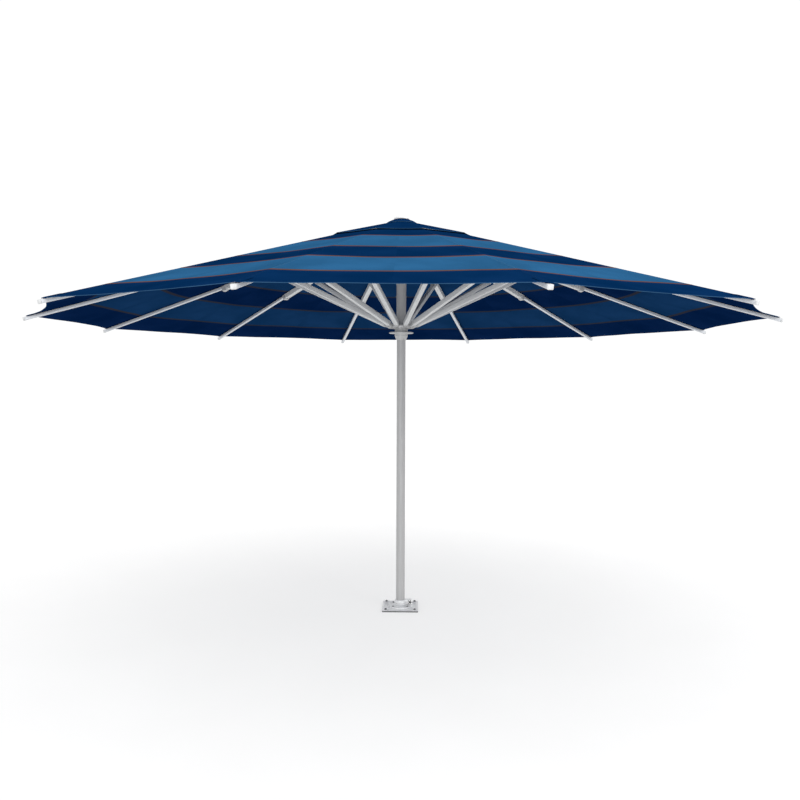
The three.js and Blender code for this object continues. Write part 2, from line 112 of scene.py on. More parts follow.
# name, place, what it points at, size and watts
LAMPS = (
    ("key", (7.5, -6.5, 6.5), (0, 0, 2.2), 5.0, 260),
    ("fill", (-1.5, -7.5, 1.2), (0, 0, 2.4), 4.0, 110),
)


def add_camera():
    data = bpy.data.cameras.new("camera")
    data.lens, data.sensor_width = CAMERA_LENS, CAMERA_SENSOR
    data.clip_end = 3 * FLOOR_RADIUS
    camera = linked("camera", data)
    place = Matrix.Rotation(CAMERA_TURN, 4, "Z")
    place @= Matrix.Translation((0, -CAMERA_DISTANCE, CAMERA_HEIGHT))
    place @= Matrix.Rotation(CAMERA_PAN, 4, "Z")
    place @= Matrix.Rotation(math.pi / 2 + CAMERA_PITCH, 4, "X")
    place @= Matrix.Rotation(CAMERA_ROLL, 4, "Z")
    camera.matrix_world = place
    bpy.context.scene.camera = camera


def add_area_light(name, at, towards, size, power):
    data = bpy.data.lights.new(name, "AREA")
    data.shape, data.size, data.energy = "DISK", size, power
    lamp = linked(name, data)
    lamp.location = at
    aim = Vector(towards) - Vector(at)
    lamp.rotation_euler = aim.to_track_quat("-Z", "Y").to_euler()


def add_studio():
    scene = bpy.context.scene
    scene.view_settings.view_transform = "Standard"
    world = bpy.data.worlds.new("studio")
    scene.world = world
    world.use_nodes = True
    background = world.node_tree.nodes["Background"]
    background.inputs["Color"].default_value = (1, 1, 1, 1)
    background.inputs["Strength"].default_value = WORLD_STRENGTH
    for lamp in LAMPS:
        add_area_light(*lamp)


def add_floor():
    mesh = bpy.data.meshes.new("floor")
    points = [(x, y, -FLOOR_DROP) for x, y in circle(FLOOR_RADIUS, FLOOR_SIDES)]
    mesh.from_pydata(points, [], [list(range(FLOOR_SIDES))])
    shader = Shader("floor_paper")
    spots = shader.noise(shader.position(), 1.5, 3)
    shade = shader.ramp(spots, [(0.3, (0.44, 0.44, 0.44)), (0.7, (0.46, 0.46, 0.46))])
    shader.surface(shade, 0.85)
    shader.principled.inputs["Emission Color"].default_value = (1, 1, 1, 1)
    shader.principled.inputs["Emission Strength"].default_value = FLOOR_GLOW
    mesh.materials.append(shader.material)
    linked("floor", mesh)


# ------------------------------------------------------------------ finishes


EDGE_COSINE = 0.97  # how far the bevelled normal leans on an edge
EDGE_METAL = (0.9, 0.9, 0.92)


def scaled(color, factor, lift=0.0):
    return tuple(min(1.0, factor * part + lift) for part in color)


class Shader:
    """Short forms for the nodes of one material."""

    def __init__(self, name):
        self.material = bpy.data.materials.new(name)
        self.material.use_nodes = True
        self.tree = self.material.node_tree
        self.principled = self.tree.nodes["Principled BSDF"]

    def add(self, kind, inputs=None, **settings):
        node = self.tree.nodes.new("ShaderNode" + kind)
        for key, value in settings.items():
            setattr(node, key, value)
        for key, value in (inputs or {}).items():
            self.feed(node.inputs[key], value)
        return node

    def feed(self, socket, value):
        if isinstance(value, bpy.types.NodeSocket):
            self.tree.links.new(value, socket)
        elif socket.type == "RGBA" and len(value) == 3:
            socket.default_value = (*value, 1)
        else:
            socket.default_value = value

    def position(self):
        return self.add("TexCoord").outputs["Object"]

    def uv(self, name):
        return self.add("UVMap", uv_map=name).outputs["UV"]

    def stretched(self, vector, scale):
        return self.add("Mapping", {"Vector": vector, "Scale": scale}).outputs["Vector"]

    def noise(self, vector, scale, detail=4.0):
        inputs = {"Vector": vector, "Scale": scale, "Detail": detail}
        return self.add("TexNoise", inputs).outputs["Fac"]

    def math(self, operation, a, b=0.0):
        return self.add("Math", {0: a, 1: b}, operation=operation).outputs[0]

    def axis(self, vector, letter):
        return self.add("SeparateXYZ", {"Vector": vector}).outputs[letter]

    def ramp(self, value, stops, smooth=False):
        node = self.add("ValToRGB", {"Fac": value})
        node.color_ramp.interpolation = "EASE" if smooth else "LINEAR"
        elements = node.color_ramp.elements
        while len(elements) < len(stops):
            elements.new(0.5)
        for element, (at, color) in zip(elements, stops):
            element.position = at
            shade = color if hasattr(color, "__len__") else (color,) * 3
            element.color = (*shade, 1)
        return node.outputs["Color"]

    def mix(self, share, a, b):
        node = self.add("Mix", data_type="RGBA")
        for index, value in ((0, share), (6, a), (7, b)):
            self.feed(node.inputs[index], value)
        return node.outputs[2]

    def tinted(self, shade, mask, amount, color):
        """A colour laid over a shade through a weakened mask."""
        return self.mix(self.math("MULTIPLY", mask, amount), shade, color)

    def edges(self, radius=0.003):
        """1 on worn convex edges, 0 elsewhere."""
        bevelled = self.add("Bevel", {"Radius": radius}, samples=4).outputs["Normal"]
        normal = self.add("NewGeometry").outputs["Normal"]
        inputs = {0: bevelled, 1: normal}
        turn = self.add("VectorMath", inputs, operation="DOT_PRODUCT").outputs["Value"]
        return self.math("GREATER_THAN", EDGE_COSINE, turn)

    def bump(self, height, distance, strength=1.0, below=None):
        inputs = {"Height": height, "Distance": distance, "Strength": strength}
        if below is not None:
            inputs["Normal"] = below
        return self.add("Bump", inputs).outputs["Normal"]

    def surface(self, color, roughness, metallic=0.0, normal=None, specular=0.5):
        sockets = self.principled.inputs
        self.feed(sockets["Base Color"], color)
        self.feed(sockets["Roughness"], roughness)
        sockets["Metallic"].default_value = metallic
        sockets["Specular IOR Level"].default_value = specular
        if normal is not None:
            self.feed(sockets["Normal"], normal)
        return self.material


THREAD = 0.0022  # from one yarn of the canvas to the next
STITCH = 0.007  # from one stitch to the next
STITCH_HALF = 0.0007  # half the width of a stitch
STITCH_SHARE = 0.62  # how much of the way to the next one a stitch takes
SEAM_STITCHES = 0.006  # from the middle of a seam
HEM_STITCHES = (0.036, 0.005)  # from the rim


def stitched_line(shader, across, along, at):
    """1 on a broken line of stitches at a distance on each side of a seam."""
    offset = shader.math("ABSOLUTE", shader.math("SUBTRACT", shader.math("ABSOLUTE", across), at))
    line = shader.math("LESS_THAN", offset, STITCH_HALF)
    turn = shader.math("FRACT", shader.math("DIVIDE", along, STITCH))
    return shader.math("MULTIPLY", line, shader.math("LESS_THAN", turn, STITCH_SHARE))


def canvas(name, color, thread, seams=True):
    """Woven acrylic canvas: yarns both ways, uneven dye, and lines of stitches."""
    shader = Shader(name)
    cloth, rim = shader.uv("cloth"), shader.uv("rim")
    across, along = shader.axis(cloth, "X"), shader.axis(cloth, "Y")
    warp = shader.math("SINE", shader.math("MULTIPLY", across, 2 * math.pi / THREAD))
    weft = shader.math("SINE", shader.math("MULTIPLY", along, 2 * math.pi / THREAD))
    weave = shader.math("MULTIPLY", warp, weft)
    slubs = shader.noise(shader.stretched(cloth, (22, 260, 1)), 1.0, 3)
    streaks = shader.noise(shader.stretched(cloth, (240, 9, 1)), 1.0, 3)
    clouds = shader.noise(shader.stretched(cloth, (2.2, 2.2, 1)), 1.0, 4)
    dark, light = scaled(color, 0.84), scaled(color, 1.12, 0.002)
    shade = shader.mix(shader.ramp(clouds, [(0.3, 0.0), (0.72, 1.0)], True), dark, light)
    shade = shader.tinted(shade, slubs, 0.16, light)
    shade = shader.tinted(shade, streaks, 0.16, dark)
    shade = shader.tinted(shade, weave, 0.10, light)
    height = shader.math("ADD", shader.math("MULTIPLY", weave, 0.5), slubs)
    if seams:
        from_rim = shader.axis(rim, "Y")
        hems = [stitched_line(shader, from_rim, across, at) for at in HEM_STITCHES]
        stitches = stitched_line(shader, across, along, SEAM_STITCHES)
        stitches = shader.math("MAXIMUM", stitches, shader.math("MAXIMUM", *hems))
        shade = shader.mix(stitches, shade, thread)
        height = shader.math("ADD", height, shader.math("MULTIPLY", stitches, 2.0))
    rough = shader.ramp(slubs, [(0.2, 0.78), (0.8, 0.94)])
    return shader.surface(shade, rough, 0.0, shader.bump(height, 0.0004, 0.6), specular=0.0)


def satin_metal(name, color, roughness, metallic, grain, wear=0.25):
    """Drawn, satin metal: fine lines along the part, smudges and lighter worn edges."""
    shader = Shader(name)
    place = shader.position()
    lines = shader.noise(shader.stretched(place, grain), 1.0, 5)
    smudges = shader.noise(place, 7.0, 4)
    dark, light = scaled(color, 0.86), scaled(color, 1.08)
    shade = shader.mix(shader.ramp(lines, [(0.3, 0.0), (0.7, 1.0)]), dark, light)
    shade = shader.tinted(shade, smudges, 0.2, dark)
    shade = shader.tinted(shade, shader.edges(), wear, scaled(color, 1.25))
    rough = shader.math("ADD", shader.math("MULTIPLY", smudges, 0.16), roughness - 0.08)
    return shader.surface(shade, rough, metallic, shader.bump(lines, 0.0002, 0.35))


def powder_coat(name, color, roughness=0.48):
    """Baked paint: a fine orange-peel skin, faint dirt, and metal at rubbed edges."""
    shader = Shader(name)
    place = shader.position()
    peel = shader.noise(place, 420.0, 2)
    dirt = shader.noise(shader.stretched(place, (3, 30, 30)), 1.0, 5)
    dirty = shader.ramp(dirt, [(0.42, 0.0), (0.75, 1.0)], True)
    shade = shader.mix(dirty, color, scaled(color, 0.9))
    chipped = shader.math("MULTIPLY", shader.edges(0.002), shader.noise(place, 90.0, 3))
    shade = shader.tinted(shade, chipped, 0.5, EDGE_METAL)
    rough = shader.math("ADD", shader.math("MULTIPLY", dirt, 0.2), roughness - 0.1)
    return shader.surface(shade, rough, 0.1, shader.bump(peel, 0.0002, 0.3))


def galvanised(name, dark, light, metallic):
    """Zinc spangle on steel, dulled, with lighter edges and water marks."""
    shader = Shader(name)
    place = shader.position()
    inputs = {"Vector": place, "Scale": 95.0, "Randomness": 1.0}
    spangle = shader.add("TexVoronoi", inputs).outputs["Color"]
    grey = shader.axis(spangle, "X")
    shade = shader.ramp(grey, [(0.0, dark), (1.0, light)])
    marks = shader.noise(place, 11.0, 5)
    shade = shader.mix(shader.ramp(marks, [(0.5, 0.0), (0.72, 0.4)], True), shade, dark)
    shade = shader.tinted(shade, shader.edges(), 0.5, EDGE_METAL)
    rough = shader.ramp(grey, [(0.0, 0.36), (1.0, 0.56)])
    return shader.surface(shade, rough, metallic, shader.bump(marks, 0.0006, 0.4))


def moulded(name, color, roughness=0.5):
    """Moulded plastic: a pebbled skin, slight blotches and polished edges."""
    shader = Shader(name)
    place = shader.position()
    pebbles = shader.add("TexVoronoi", {"Vector": place, "Scale": 900.0}).outputs["Distance"]
    blotches = shader.noise(place, 24.0, 4)
    dark, light = scaled(color, 0.85), scaled(color, 1.1, 0.01)
    shade = shader.mix(shader.ramp(blotches, [(0.3, 0.0), (0.7, 1.0)], True), dark, light)
    shade = shader.tinted(shade, shader.edges(0.0015), 0.3, light)
    rough = shader.math("ADD", shader.math("MULTIPLY", blotches, 0.15), roughness - 0.07)
    return shader.surface(shade, rough, 0.0, shader.bump(pebbles, 0.0002, 0.4))


NAVY = (0.0009, 0.023, 0.088)
STEEL_BLUE = (0.022, 0.112, 0.25)
BROWN = (0.13, 0.06, 0.042)

finishes = {
    "navy": canvas("canvas_navy", NAVY, (0.02, 0.05, 0.12)),
    "steel_blue": canvas("canvas_steel_blue", STEEL_BLUE, (0.1, 0.2, 0.32)),
    "brown": canvas("canvas_brown", BROWN, (0.2, 0.13, 0.1), seams=False),
    "hem": canvas("canvas_hem", (0.03, 0.085, 0.17), (0.06, 0.12, 0.2)),
    # The finishes for the cloth's underside are darker copies of the canvas colours: painted
    # shade.
    "navy_under": canvas("canvas_navy_under", (0.0005, 0.0105, 0.05), (0.01, 0.03, 0.08)),
    "steel_blue_under": canvas("canvas_steel_blue_under", (0.004, 0.028, 0.088),
                               (0.03, 0.07, 0.13)),
    "brown_under": canvas("canvas_brown_under", (0.02, 0.022, 0.035), (0.05, 0.04, 0.04), False),
    "hem_under": canvas("canvas_hem_under", (0.002, 0.02, 0.075), (0.02, 0.05, 0.1)),
    "mast": satin_metal("mast_satin", (0.46, 0.46, 0.462), 0.5, 0.25, (260, 260, 3)),
    "frame": powder_coat("frame_grey", (0.56, 0.57, 0.575)),
    # A darker copy of the frame paint for the grooves: painted shade in the recesses.
    "groove": powder_coat("frame_groove_painted_shade", (0.4, 0.41, 0.415), 0.6),
    "drawn": satin_metal("tube_satin", (0.6, 0.62, 0.65), 0.42, 0.3, (3, 260, 260)),
    "zinc": galvanised("galvanised_steel", (0.7, 0.71, 0.72), (0.86, 0.87, 0.88), 0.2),
    # The plate's zinc is a lighter copy of the galvanised steel, brightened to stand in for light
    # and reflection: painted light.
    "plate": galvanised("galvanised_plate_painted_light", (0.86, 0.865, 0.87), (0.96, 0.965, 0.97), 0.0),
    "white_plastic": moulded("white_plastic", (0.95, 0.95, 0.95), 0.4),
    # Dark metal for the base plate's rim faces: painted shade along the plate's edge.
    "plate_rim_painted_shade": satin_metal("plate_rim_painted_shade", (0.16, 0.16, 0.165), 0.6, 0.4, (60, 60, 300)),
    "cast": satin_metal("cast_satin", (0.47, 0.475, 0.48), 0.5, 0.3, (60, 60, 60)),
    "bolt": satin_metal("bolt_zinc", (0.15, 0.153, 0.158), 0.4, 0.6, (90, 90, 90), 0.6),
    "light_plastic": moulded("plastic_light", (0.6, 0.61, 0.615)),
    "dark_plastic": moulded("plastic_dark", (0.03, 0.031, 0.033), 0.42),
}

# ------------------------------------------------------------------ shapes

SHARP_ANGLE = math.radians(32)
MERGE_DISTANCE = 1e-6


class Shape:
    """Closed shells gathered for one mesh, each with its finish."""

    def __init__(self):
        self.points, self.faces, self.looks, self.names = [], [], [], []

    def add(self, shell, finish, place=None):
        points, faces = shell
        start = len(self.points)
        for point in points:
            self.points.append(place @ Vector(point) if place else Vector(point))
        self.faces += [[start + i for i in face] for face in faces]
        if finish not in self.names:
            self.names.append(finish)
        self.looks += [self.names.index(finish)] * len(faces)

    def mesh(self, name):
        mesh = bpy.data.meshes.new(name)
        mesh.from_pydata(self.points, [], self.faces)
        for finish in self.names:
            mesh.materials.append(finishes[finish])
        mesh.polygons.foreach_set("material_index", self.looks)
        skin = bmesh.new()
        skin.from_mesh(mesh)
        bmesh.ops.remove_doubles(skin, verts=skin.verts, dist=MERGE_DISTANCE)
        bmesh.ops.dissolve_degenerate(skin, edges=skin.edges, dist=MERGE_DISTANCE)
        bmesh.ops.recalc_face_normals(skin, faces=skin.faces)
        skin.to_mesh(mesh)
        skin.free()
        smooth(mesh)
        mesh.set_sharp_from_angle(angle=SHARP_ANGLE)
        return mesh

    def show(self, node, body, place=None):
        """The gathered shells as one object that stands for a CAD node."""
        name = node + "_shown"
        piece(name, self.mesh(name), body, [node], place)


def smooth(mesh):
    mesh.polygons.foreach_set("use_smooth", [True] * len(mesh.polygons))


def lay_uv(mesh, layers, places):
    """Writes the named UV layers from one place for each vertex."""
    for layer in layers:
        uv = mesh.uv_layers.new(name=layer)
        for loop in mesh.loops:
            uv.data[loop.index].uv = places[loop.vertex_index]


def piece(name, mesh, body, replaced=(), place=None):
    """One object on a body, standing for some CAD nodes."""
    made = linked(name, mesh)
    if place is not None:
        made.matrix_world = place
    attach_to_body(made, body)
    if replaced:
        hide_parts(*replaced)
    return made


def lofted(loops, closed_ends=True):
    """A skin over loops that have the same number of points, with flat ends."""
    count = len(loops[0])
    points = [point for loop in loops for point in loop]
    faces = []
    for row in range(len(loops) - 1):
        for i in range(count):
            j = (i + 1) % count
            a, b = row * count, (row + 1) * count
            faces.append([a + i, a + j, b + j, b + i])
    if closed_ends:
        faces.append(list(range(count))[::-1])
        faces.append([(len(loops) - 1) * count + i for i in range(count)])
    return points, faces


def turned(profile, sides=72):
    """A closed outline of (radius, height) points turned round Z."""
    loops = []
    for i in range(sides):
        turn = 2 * math.pi * i / sides
        loops.append([(r * math.cos(turn), r * math.sin(turn), z) for r, z in profile])
    points, faces = lofted(loops, closed_ends=False)
    count, last = len(profile), (sides - 1) * len(profile)
    faces += [[last + i, last + (i + 1) % count, (i + 1) % count, i] for i in range(count)]
    return points, faces


def part_turned(profile, start, end, sides=60):
    """A closed outline turned round Z from one angle to another."""
    loops = []
    for i in range(sides + 1):
        turn = start + (end - start) * i / sides
        loops.append([(r * math.cos(turn), r * math.sin(turn), z) for r, z in profile])
    return lofted(loops)


def left_of(loop, distance):
    """A closed loop moved to its left: inwards for an outline, outwards for a hole."""
    moved = []
    for i, point in enumerate(loop):
        here = Vector(point)
        before = (here - Vector(loop[i - 1])).normalized()
        after = (Vector(loop[(i + 1) % len(loop)]) - here).normalized()
        one, two = Vector((-before.y, before.x)), Vector((-after.y, after.x))
        step = (one + two) / max(0.2, 1 + one.dot(two))
        moved.append(tuple(here + distance * step))
    return moved


def sheet_metal(loops, z0, z1, bevel):
    """A plate between two heights: a counter-clockwise outline, then clockwise holes."""
    levels = [
        (z0, bevel), (z0 + bevel * 0.3, bevel * 0.3), (z0 + bevel, 0),
        (z1 - bevel, 0), (z1 - bevel * 0.3, bevel * 0.3), (z1, bevel),
    ]
    points, faces, ends = [], [], [[], []]
    for loop in loops:
        rings = [[(x, y, z) for x, y in left_of(loop, inset)] for z, inset in levels]
        skin, sides = lofted(rings, closed_ends=False)
        start = len(points)
        points += skin
        faces += [[start + i for i in face] for face in sides]
        ends[0].append(range(start, start + len(loop)))
        top = start + len(loop) * (len(levels) - 1)
        ends[1].append(range(top, top + len(loop)))
    for end in ends:
        flat = [i for ring in end for i in ring]
        drawn = [[Vector(points[i]) for i in ring] for ring in end]
        faces += [[flat[i] for i in triangle] for triangle in tessellate_polygon(drawn)]
    return points, faces


def circle(radius, sides=48, centre=(0, 0), hole=False):
    turns = [2 * math.pi * i / sides for i in range(sides)]
    loop = [(centre[0] + radius * math.cos(t), centre[1] + radius * math.sin(t)) for t in turns]
    return loop[::-1] if hole else loop


def rounded(width, height, radius, steps=5):
    """A rectangle with round corners, centred, counter-clockwise."""
    loop = []
    for i, (sx, sy) in enumerate(((1, 1), (-1, 1), (-1, -1), (1, -1))):
        cx, cy = sx * (width / 2 - radius), sy * (height / 2 - radius)
        for step in range(steps + 1):
            turn = math.pi / 2 * (i + step / steps)
            loop.append((cx + radius * math.cos(turn), cy + radius * math.sin(turn)))
    return loop


def grooved(width, height, radius, groove, depth):
    """A round-cornered section with a shallow groove down the middle of its top and bottom."""
    loop = rounded(width, height, radius)
    quarter = len(loop) // 4
    top = [(groove / 2, height / 2), (groove / 2 - depth, height / 2 - depth),
           (-groove / 2 + depth, height / 2 - depth), (-groove / 2, height / 2)]
    bottom = [(-x, -y) for x, y in top]
    return loop[:quarter] + top + loop[quarter:3 * quarter] + bottom + loop[3 * quarter:]


def extruded(section, x0, x1, edge=0.0008):
    """A section of (y, z) points drawn out along X, its two ends slightly eased."""
    rows = [(x0, edge), (x0 + edge, 0), (x1 - edge, 0), (x1, edge)]
    return lofted([[(x, y, z) for y, z in left_of(section, inset)] for x, inset in rows])


def hexagon(radius):
    return circle(radius / math.cos(math.pi / 6), 6)


def threaded(radius, z0, z1, pitch=0.0018, sides=24):
    """A threaded rod, its ridges drawn as rings."""
    profile, z = [(0, z0), (radius, z0)], z0
    while z + pitch < z1 - 0.001:
        profile += [(radius, z + 0.1 * pitch), (0.86 * radius, z + 0.6 * pitch),
                    (radius, z + pitch)]
        z += pitch
    profile += [(radius, z1 - 0.001), (0.8 * radius, z1), (0, z1)]
    return turned(profile, sides)


def laid_along_y(x, z):
    """Takes Z to Y, at a place given by the other two coordinates."""
    return Matrix.Translation((x, 0, z)) @ Matrix.Rotation(-math.pi / 2, 4, "X")


# ------------------------------------------------------------------ base


def hand_knob(radius, lobe, lobes, thickness):
    """A knob with round lobes: its grip, raised hub and recessed screw."""
    steps = lobes * 14
    outline = []
    for i in range(steps):
        turn = 2 * math.pi * i / steps
        r = radius + lobe * math.cos(lobes * turn)
        outline.append((r * math.cos(turn), r * math.sin(turn)))
    grip = sheet_metal([outline], 0, 0.82 * thickness, 0.2 * thickness)
    hub = turned([
        (0, 0.6 * thickness), (0.52 * radius, 0.6 * thickness),
        (0.5 * radius, 0.95 * thickness), (0.44 * radius, thickness),
        (0.26 * radius, thickness), (0.24 * radius, 0.88 * thickness), (0, 0.88 * thickness),
    ], 36)
    return grip, hub


PLATE_CORNER = 0.009
PLATE_BEVEL = 0.0012
PLATE_HOLE = 0.0066
SOCKET_HOLE = 0.0052
SOCKET_FLANGE = 0.012  # thickness of the socket's flange
ANCHOR = {"shank": 0.006, "head": 0.0112, "washer": 0.003, "end": 0.004}
FLANGE_BOLT = {"shank": 0.0045, "head": 0.0066, "washer": 0.0018, "end": 0.0004}


def add_base():
    low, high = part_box("base_plate")
    side, plate_top = high.x - low.x, high.z
    holes = []
    bolt_spots = {}
    for name in frame["nodes"]:
        if name.startswith(("anchor_bolt", "flange_bolt")):
            a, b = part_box(name)
            bolt_spots[name] = ((a.x + b.x) / 2, (a.y + b.y) / 2)
            holes.append(circle(PLATE_HOLE, 20, bolt_spots[name], hole=True))
    plate = Shape()
    outline = rounded(side, side, PLATE_CORNER)
    plate.add(sheet_metal([outline, *holes], 0, plate_top, PLATE_BEVEL), "plate")
    # The plate's rim faces take the dark finish, which is painted shade along the edge.
    plate.looks = [1 if plate_edge(plate, face, side) else look
                   for face, look in zip(plate.faces, plate.looks)]
    plate.names.append("plate_rim_painted_shade")
    plate.show("base_plate", "root")
    for name, (x, y) in bolt_spots.items():
        add_bolt(name, x, y)
    add_socket(bolt_spots)
    add_clamp_knob()


def plate_edge(plate, face, side):
    """True for the faces of the plate's outer rim."""
    corners = [plate.points[i] for i in face]
    steep = max(p.z for p in corners) - min(p.z for p in corners) > PLATE_BEVEL / 2
    return steep and max(max(abs(p.x), abs(p.y)) for p in corners) > side / 2 - PLATE_CORNER / 2


def add_bolt(name, x, y):
    """A hexagon bolt on its washer, with the threaded end showing above the head."""
    low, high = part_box(name)
    anchor = name.startswith("anchor")
    bolt = Shape()
    washer = radius_about(name, x, y)
    shank, head, rise, end = (ANCHOR if anchor else FLANGE_BOLT).values()
    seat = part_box("mast_socket")[0].z if anchor else flange_top()
    bolt.add(turned([(0, low.z), (shank, low.z), (shank, seat), (0, seat)], 20), "bolt")
    ring = [(0, seat), (washer, seat), (washer, seat + 0.7 * rise),
            (washer - 0.3 * rise, seat + rise), (0, seat + rise)]
    bolt.add(turned(ring, 36), "zinc" if anchor else "bolt")
    top = high.z - end
    turn = Matrix.Rotation(5 * x + y, 4, "Z")
    bolt.add(sheet_metal([hexagon(head * 0.86)], seat + rise, top, 0.0011), "bolt", turn)
    if anchor:
        bolt.add(threaded(shank, top - 0.001, high.z), "bolt")
    else:
        bolt.add(turned([(0, top - 0.001), (0.003, top - 0.001), (0.0028, high.z), (0, high.z)],
                        16), "bolt")
    place = Matrix.Translation((x, y, 0))
    bolt.show(name, "root", place)


def radius_about(node, x, y):
    points = corners_of(node)
    return float(np.hypot(points[:, 0] - x, points[:, 1] - y).max())


def flange_top():
    """The height of the socket's flange, where the bolt heads sit."""
    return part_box("mast_socket")[0].z + SOCKET_FLANGE


def add_socket(bolt_spots):
    """The socket: a drilled flange, a flared neck with a slit, and two clamping ears."""
    low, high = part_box("mast_socket")
    flange = -low.x
    bore = radius_of("mast_lower") + 0.0006
    neck = bore + 0.007
    top = flange_top()
    holes = [circle(SOCKET_HOLE, 20, spot, hole=True) for name, spot in bolt_spots.items()
             if name.startswith("flange")]
    holes.append(circle(bore, 72, hole=True))
    socket = Shape()
    socket.add(sheet_metal([circle(flange, 96), *holes], low.z, top, 0.0018), "zinc")
    flare = [(bore, top - 0.001), (0.072, top - 0.001), (0.0715, top + 0.0015)]
    flare += [(neck + 0.0255 * (1 - math.sin(t)), top + 0.0015 + 0.0135 * (1 - math.cos(t)))
              for t in np.linspace(0.15, math.pi / 2, 7)]
    flare += [(bore, top + 0.015)]
    socket.add(turned(flare, 84), "zinc")
    bead = [(neck + 0.002 * math.cos(t), top + 0.0165 + 0.002 * math.sin(t))
            for t in np.linspace(0, 2 * math.pi, 10, endpoint=False)]
    socket.add(turned(bead, 84), "cast")
    collar = [(bore, top + 0.0145), (neck, top + 0.0145), (neck, high.z - 0.0025),
              (neck - 0.0008, high.z - 0.0007), (neck - 0.0025, high.z), (bore, high.z)]
    slit = 0.002 / bore
    socket.add(part_turned(collar, slit, 2 * math.pi - slit, 84), "zinc")
    knob_low, knob_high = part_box("clamp_knob")
    screw_z = (knob_low.z + knob_high.z) / 2
    half = min(screw_z - top - 0.002, high.z - screw_z) + 0.002
    start, end, corner = bore + 0.003, high.x - 0.011, 0.011
    outline = [(start, screw_z - half), (end, screw_z - half)]
    outline += [(end + corner * math.cos(t),
                 screw_z + (half - corner) * np.sign(math.sin(t)) + corner * math.sin(t))
                for t in np.linspace(-1.3, 1.3, 12)]
    outline += [(end, screw_z + half), (start, screw_z + half)]
    ear, faces = sheet_metal([outline], 0.002, 0.014, 0.0012)
    for sign in (-1, 1):
        socket.add(([(x, sign * y, z) for x, z, y in ear], faces), "zinc")
    socket.show("mast_socket", "root")


def add_clamp_knob():
    low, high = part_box("clamp_knob")
    x, z = (low.x + high.x) / 2, (low.z + high.z) / 2
    thickness, lobe, lobes = 0.016, 0.004, 5
    radius = (high.z - low.z) / 2 - lobe * 0.95
    knob = Shape()
    grip, hub = hand_knob(radius, lobe, lobes, thickness)
    knob.add(grip, "white_plastic")
    knob.add(hub, "dark_plastic")
    for k in range(lobes):
        turn = Matrix.Rotation(2 * math.pi * k / lobes, 4, "Z")
        dimple = [(0, 0.011), (0.0045, 0.011), (0.004, 0.0137), (0, 0.0133)]
        at = turn @ Matrix.Translation((0.82 * radius, 0, 0))
        knob.add(turned(dimple, 20), "dark_plastic", at)
    knob.add(threaded(0.005, -(high.y - low.y) + thickness, 0.001), "bolt")
    place = Matrix.Translation((x, low.y + thickness, z)) @ Matrix.Rotation(math.pi / 2, 4, "X")
    knob.show("clamp_knob", "clamp_knob", place)


# ------------------------------------------------------------------ mast and runner


SLOT_RADIUS = 0.083  # where the slots for the struts end in the runner's disc
SLOT_HALF = 0.009
SCREW_RADIUS = 0.096  # the ring of screws in the disc


def tube_profile(outer, inner, z0, z1, edge=0.001):
    return [(inner, z0), (outer - edge, z0), (outer, z0 + edge), (outer, z1 - edge),
            (outer - edge, z1), (inner, z1)]


def add_mast():
    lower = radius_of("mast_lower")
    for name, outer, inner in (
        ("mast_lower", lower, lower - 0.003),
        ("mast_upper", radius_of("mast_upper"), lower + 0.0005),
    ):
        low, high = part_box(name)
        tube = Shape()
        tube.add(turned(tube_profile(outer, inner, low.z, high.z), 96), "mast")
        tube.show(name, "root")


def slotted_disc(radius, bore, slot_radius, slot_half):
    """A disc's outline with one slot for each rib, and its hole."""
    outline = []
    inset = math.asin(slot_half / radius)
    for i in range(RIBS):
        centre = 2 * i * HALF_PITCH + HALF_PITCH
        c, s = math.cos(centre), math.sin(centre)
        x = math.sqrt(radius ** 2 - slot_half ** 2)
        for px, py in ((x, -slot_half), (slot_radius, -slot_half), (slot_radius, slot_half),
                       (x, slot_half)):
            outline.append((c * px - s * py, s * px + c * py))
        for step in range(1, 8):
            turn = centre + inset + (2 * HALF_PITCH - 2 * inset) * step / 8
            outline.append((radius * math.cos(turn), radius * math.sin(turn)))
    return [outline, circle(bore, 96, hole=True)]


